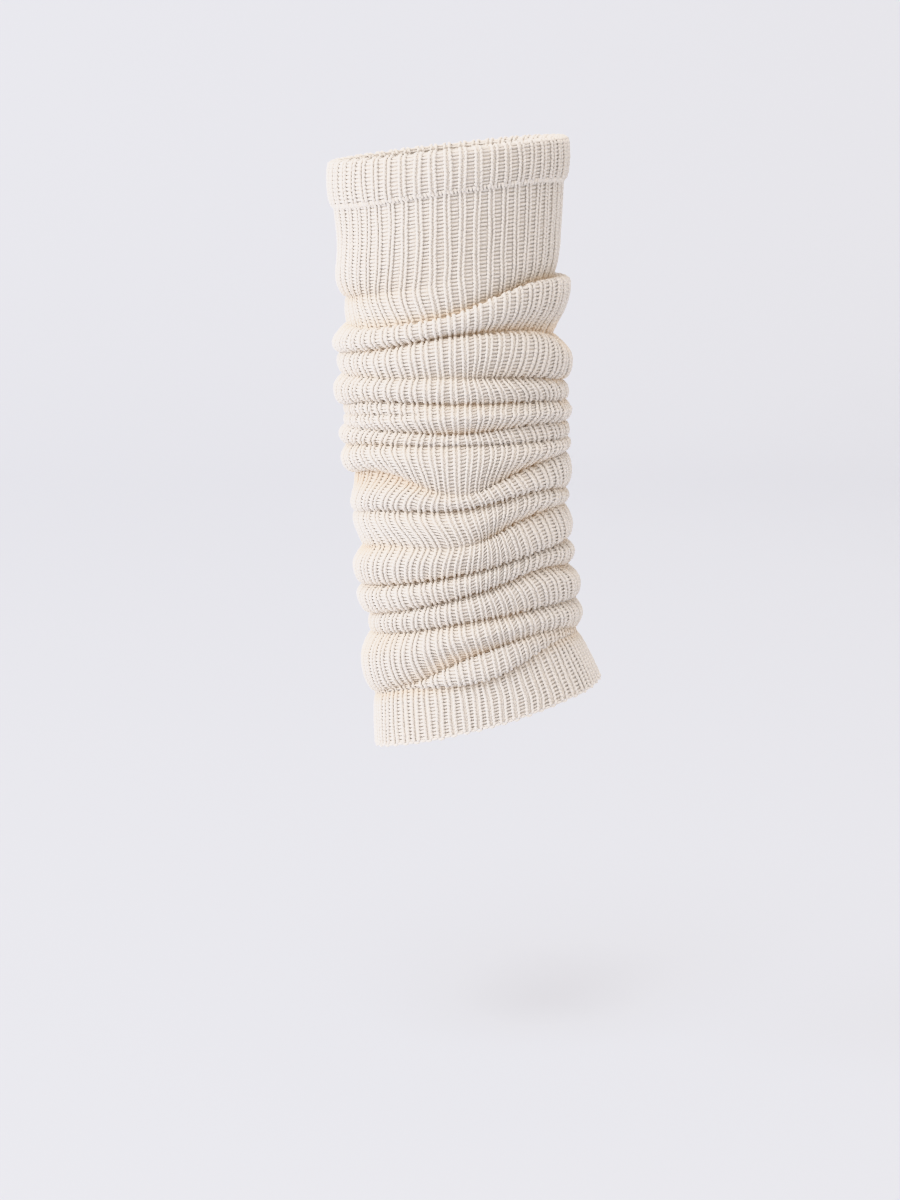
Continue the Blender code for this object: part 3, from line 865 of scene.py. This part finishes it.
def ground_knit(name, colour, shade):
    """The cloth behind the stitches: the backs of ribs and bars, seen inside the tube."""
    nodes = NodeTree(name)
    place = nodes.coordinates()
    ribs, courses = nodes.yarn_place()
    bars = (courses * (2 * math.pi)).sine()
    wales = (ribs * (4 * math.pi)).sine()
    fibres = nodes.noise(place, GROUND_FIBRE_SCALE, 3.0, 0.7)
    height = bars * 0.45 + wales * 0.35 + fibres * 0.6
    nodes.dress({"Normal": nodes.bump(height, GROUND_RELIEF, 0.7),
                 "Base Color": shaded_colour(nodes, colour, shade, place),
                 "Roughness": fibres * 0.1 + 0.86})
    wool_finish(nodes, 0.5)
    return nodes.material


def flat_finish(name, colour):
    """A matt face with a faint drift in its colour."""
    nodes = NodeTree(name)
    drift = nodes.noise(nodes.coordinates(), 2.0, 1.0)
    shade = (*(value * 0.985 for value in colour), 1.0)
    nodes.dress({"Base Color": nodes.mix(drift, (*colour, 1.0), shade),
                 "Roughness": drift * 0.05 + 0.8})
    return nodes.material


def material(name, maker, *values):
    """The named material, made once."""
    found = bpy.data.materials.get(name)
    return found if found is not None else maker(name, *values)


CLOTHS = {}


def cloth(name):
    """The knitted surface of a piece, laid out once."""
    if name not in CLOTHS:
        if name == "leg_tube":
            CLOTHS[name] = Cloth(*tube_rings(), slack=(0.1, 0.6))
        elif name == "top_welt":
            CLOTHS[name] = Cloth(band_rings(WELT_PATH, TOP_EDGE, SEAM_LINE), slack=(0.3, 0.3))
        else:
            CLOTHS[name] = Cloth(band_rings(CUFF_PATH, FOLDS[-1].height, HEM_LINE, SEAM_GAP),
                                 slack=(1.0, 1.0), top_shade_reach=CUFF_SHADE_REACH)
    return CLOTHS[name]


def colour_property(name, description, default):
    return bpy.props.FloatVectorProperty(name=name, description=description, default=default,
                                         subtype="COLOR", min=0.0, max=1.0)


def length_property(name, description, default):
    return bpy.props.FloatProperty(name=name, description=description, default=default,
                                   unit="LENGTH")


class LegWarmerColours(bpy.types.PropertyGroup):
    stitch: colour_property("Stitches", "Colour of the yarn where light falls on it",
                            (0.87, 0.832, 0.80))
    stitch_shade: colour_property("Stitch shade", "The warmer cream between stitches",
                                  (0.855, 0.80, 0.75))
    # Painted light: the ground cloth is the same cream yarn, given a lighter colour than the
    # stitches to lift the shade in the gaps where it shows.
    ground: colour_property("Ground", "Colour of the cloth behind the stitches", (0.93, 0.88, 0.83))
    ground_shade: colour_property("Ground shade", "The darker cream behind the stitches",
                                  (0.91, 0.85, 0.785))
    # Painted shade: the fold colour is laid on the yarn deep in each fold, where shade falls.
    fold: colour_property("Fold", "The tan deep in a fold", (0.89, 0.805, 0.71))
    # Painted light: the colour the yarn emits deep in a fold, standing in for light scattered
    # through the wool.
    painted_fold_glow: colour_property("Glow", "Colour of the light that comes through the knit in a fold",
                          (0.95, 0.62, 0.38))
    floor: colour_property("Floor", "Pale floor and backdrop", (0.68, 0.697, 0.754))


class LegWarmerSizes(bpy.types.PropertyGroup):
    tube_columns: bpy.props.IntProperty(
        name="Columns a rib", description="Columns of the ground cloth for each rib",
        default=4, min=2, max=8)
    sectors: bpy.props.IntProperty(
        name="Stitch pieces", description="Pieces that the tube's stitches are split into",
        default=4, min=4, max=8)
    floor_drop: length_property("Floor below the hem",
                                "How far the floor lies under the lowest knit", 0.15)
    camera_away: length_property("Camera distance",
                                 "How far the camera stands from the leg warmer", 1.6)
    camera_height: length_property("Camera height", "Camera height above the calf opening", 0.05)


def colours():
    return bpy.context.scene.leg_warmer_colours


def sizes():
    return bpy.context.scene.leg_warmer_sizes


def tones(tone):
    """The colour and the shade that the sidebar gives for a tone."""
    return [tuple(getattr(colours(), tone + ending)) for ending in ("", "_shade")]


def yarn_for(name, tone="stitch"):
    return material(name, stitch_yarn, *tones(tone))


# Painted light: the ground takes a lighter cream than the stitches, to lift the shade in the gaps
# between them.
def ground_for(name):
    return material(name, ground_knit, *tones("ground"))


def finish_piece(piece, node=None):
    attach(piece, "root")
    if node:
        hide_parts(node)


class MESH_OT_knit_top_welt(bpy.types.Operator):
    """Knit the turned double welt round the calf"""
    bl_idname = "mesh.knit_top_welt"
    bl_label = "Top welt"

    def execute(self, context):
        welt = cloth("top_welt")
        ground = ground_ring("welt_ground", welt, ground_for("welt_ground_knit"),
                             per_rib=4, rows=56)
        finish_piece(ground, "top_welt")
        knit = stitches("welt_stitches", welt, np.arange(RIBS), yarn_for("welt_yarn"), seed=11)
        finish_piece(knit)
        return {"FINISHED"}


class MESH_OT_knit_leg_tube(bpy.types.Operator):
    """Knit the slouched rib tube and its stitches"""
    bl_idname = "mesh.knit_leg_tube"
    bl_label = "Leg tube"

    def execute(self, context):
        tube = cloth("leg_tube")
        ground = ground_wall("tube_ground", tube, ground_for("tube_ground_knit"),
                             sizes().tube_columns, rows=240, inner_rows=96)
        finish_piece(ground, "leg_tube")
        for sector, ribs in enumerate(np.array_split(np.arange(RIBS), sizes().sectors)):
            knit = stitches(f"tube_stitches_{sector + 1}", tube, ribs, yarn_for("tube_yarn"),
                            seed=20 + sector)
            finish_piece(knit)
        return {"FINISHED"}


class MESH_OT_knit_ankle_cuff(bpy.types.Operator):
    """Knit the flat rib cuff round the ankle"""
    bl_idname = "mesh.knit_ankle_cuff"
    bl_label = "Ankle cuff"

    def execute(self, context):
        cuff = cloth("ankle_cuff")
        ground = ground_wall("cuff_ground", cuff, ground_for("cuff_ground_knit"),
                             per_rib=4, rows=36, inner_rows=18)
        finish_piece(ground, "ankle_cuff")
        knit = stitches("cuff_stitches", cuff, np.arange(RIBS), yarn_for("cuff_yarn"), seed=41)
        finish_piece(knit)
        return {"FINISHED"}


class MESH_OT_link_seam(bpy.types.Operator):
    """Link the welt to the tube with slanted stitches, and cast off the hem"""
    bl_idname = "mesh.link_seam"
    bl_label = "Linking seam and cast-off"

    def execute(self, context):
        tube, cuff = cloth("leg_tube"), cloth("ankle_cuff")
        rng = np.random.default_rng(5)
        seam = link_row("linking_stitches", tube, LINK, LINK_RADIUS, LINKS_PER_RIB,
                        SEAM_TUCK / tube.length, yarn_for("seam_yarn", "ground"), rng)
        finish_piece(seam)
        loop = Bend(0.0, np.tile(HEM_HANGS, RIBS), HEM_OUT)
        hem = link_row("cast_off_hem", cuff, (HEM_START, loop, HEM_END), HEM_RADIUS,
                       len(HEM_HANGS), 1.0, yarn_for("cuff_yarn"), rng)
        finish_piece(hem)
        return {"FINISHED"}


class SCENE_OT_knit_stage(bpy.types.Operator):
    """Set the pale floor, the soft lights and the camera"""
    bl_idname = "scene.knit_stage"
    bl_label = "Stage"

    def execute(self, context):
        lay_floor()
        hang_lights()
        place_camera()
        return {"FINISHED"}


def lay_floor():
    """A plane under the leg warmer that is swept up behind it."""
    low = CAD_BOX[0][2] - sizes().floor_drop
    bpy.ops.object.select_all(action="DESELECT")
    bpy.ops.mesh.primitive_grid_add(x_subdivisions=2, y_subdivisions=FLOOR_ROWS,
                                    size=FLOOR_SIZE)
    floor = bpy.context.active_object
    floor.name = "floor"
    for vertex in floor.data.vertices:
        turn = min(max(vertex.co.y - SWEEP_FROM, 0.0) / SWEEP_RADIUS, math.pi / 2)
        climb = max(vertex.co.y - SWEEP_FROM - SWEEP_RADIUS * math.pi / 2, 0.0)
        vertex.co.y = min(vertex.co.y, SWEEP_FROM) + SWEEP_RADIUS * math.sin(turn)
        vertex.co.z = low + SWEEP_RADIUS * (1 - math.cos(turn)) + climb
    bpy.ops.object.shade_smooth()
    floor.data.materials.append(material("pale_floor", flat_finish, tuple(colours().floor)))


def stand_at(name, data, place, aim):
    """A light or camera at a place, aimed at another."""
    item = bpy.data.objects.new(name, data)
    item.location = place
    item.rotation_euler = (Vector(aim) - Vector(place)).to_track_quat("-Z", "Y").to_euler()
    bpy.context.scene.collection.objects.link(item)
    return item


def hang_lights():
    """A large soft light from the left, a weaker one high in front, and a pale warm sky."""
    for lamp in LAMPS:
        light = bpy.data.lights.new(lamp.name, "AREA")
        light.shape = "DISK"
        light.size = lamp.size
        light.energy = lamp.power
        light.color = LAMP_COLOUR
        stand_at(lamp.name, light, lamp.place, LAMPS_AIM)
    world = bpy.data.worlds.new("pale_sky")
    world.use_nodes = True
    background = world.node_tree.nodes["Background"]
    background.inputs["Color"].default_value = SKY_COLOUR
    background.inputs["Strength"].default_value = SKY_STRENGTH
    bpy.context.scene.world = world
    bpy.context.scene.view_settings.view_transform = "Khronos PBR Neutral"


def place_camera():
    """The picture's view: level with the calf opening, pitched down to the image's centre."""
    camera = bpy.data.cameras.new("camera")
    camera.sensor_fit = "VERTICAL"
    camera.sensor_height = SENSOR_HEIGHT
    camera.lens = LENS
    place = (0.0, -sizes().camera_away, sizes().camera_height)
    bpy.context.scene.camera = stand_at("camera", camera, place, CAMERA_AIM)


class VIEW3D_PT_leg_warmer(bpy.types.Panel):
    """Lists the leg warmer's sizes, colours and pieces"""
    bl_idname = "VIEW3D_PT_leg_warmer"
    bl_label = "Ribbed Leg Warmer"
    bl_space_type = "VIEW_3D"
    bl_region_type = "UI"
    bl_category = "Knitwear"

    def draw(self, context):
        for group in (context.scene.leg_warmer_sizes, context.scene.leg_warmer_colours):
            for key in group.__annotations__:
                self.layout.prop(group, key)
        for step in STEPS:
            self.layout.operator(step.bl_idname)


STEPS = (MESH_OT_knit_top_welt, MESH_OT_knit_leg_tube, MESH_OT_knit_ankle_cuff,
         MESH_OT_link_seam, SCENE_OT_knit_stage)
CLASSES = (LegWarmerColours, LegWarmerSizes) + STEPS + (VIEW3D_PT_leg_warmer,)


def register():
    for item in CLASSES:
        bpy.utils.register_class(item)
    bpy.types.Scene.leg_warmer_colours = bpy.props.PointerProperty(type=LegWarmerColours)
    bpy.types.Scene.leg_warmer_sizes = bpy.props.PointerProperty(type=LegWarmerSizes)


def unregister():
    del bpy.types.Scene.leg_warmer_colours
    del bpy.types.Scene.leg_warmer_sizes
    for item in reversed(CLASSES):
        bpy.utils.unregister_class(item)


def main():
    register()
    bpy.ops.mesh.knit_top_welt()
    bpy.ops.mesh.knit_leg_tube()
    bpy.ops.mesh.knit_ankle_cuff()
    bpy.ops.mesh.link_seam()
    bpy.ops.scene.knit_stage()


if __name__ == "__main__":
    main()
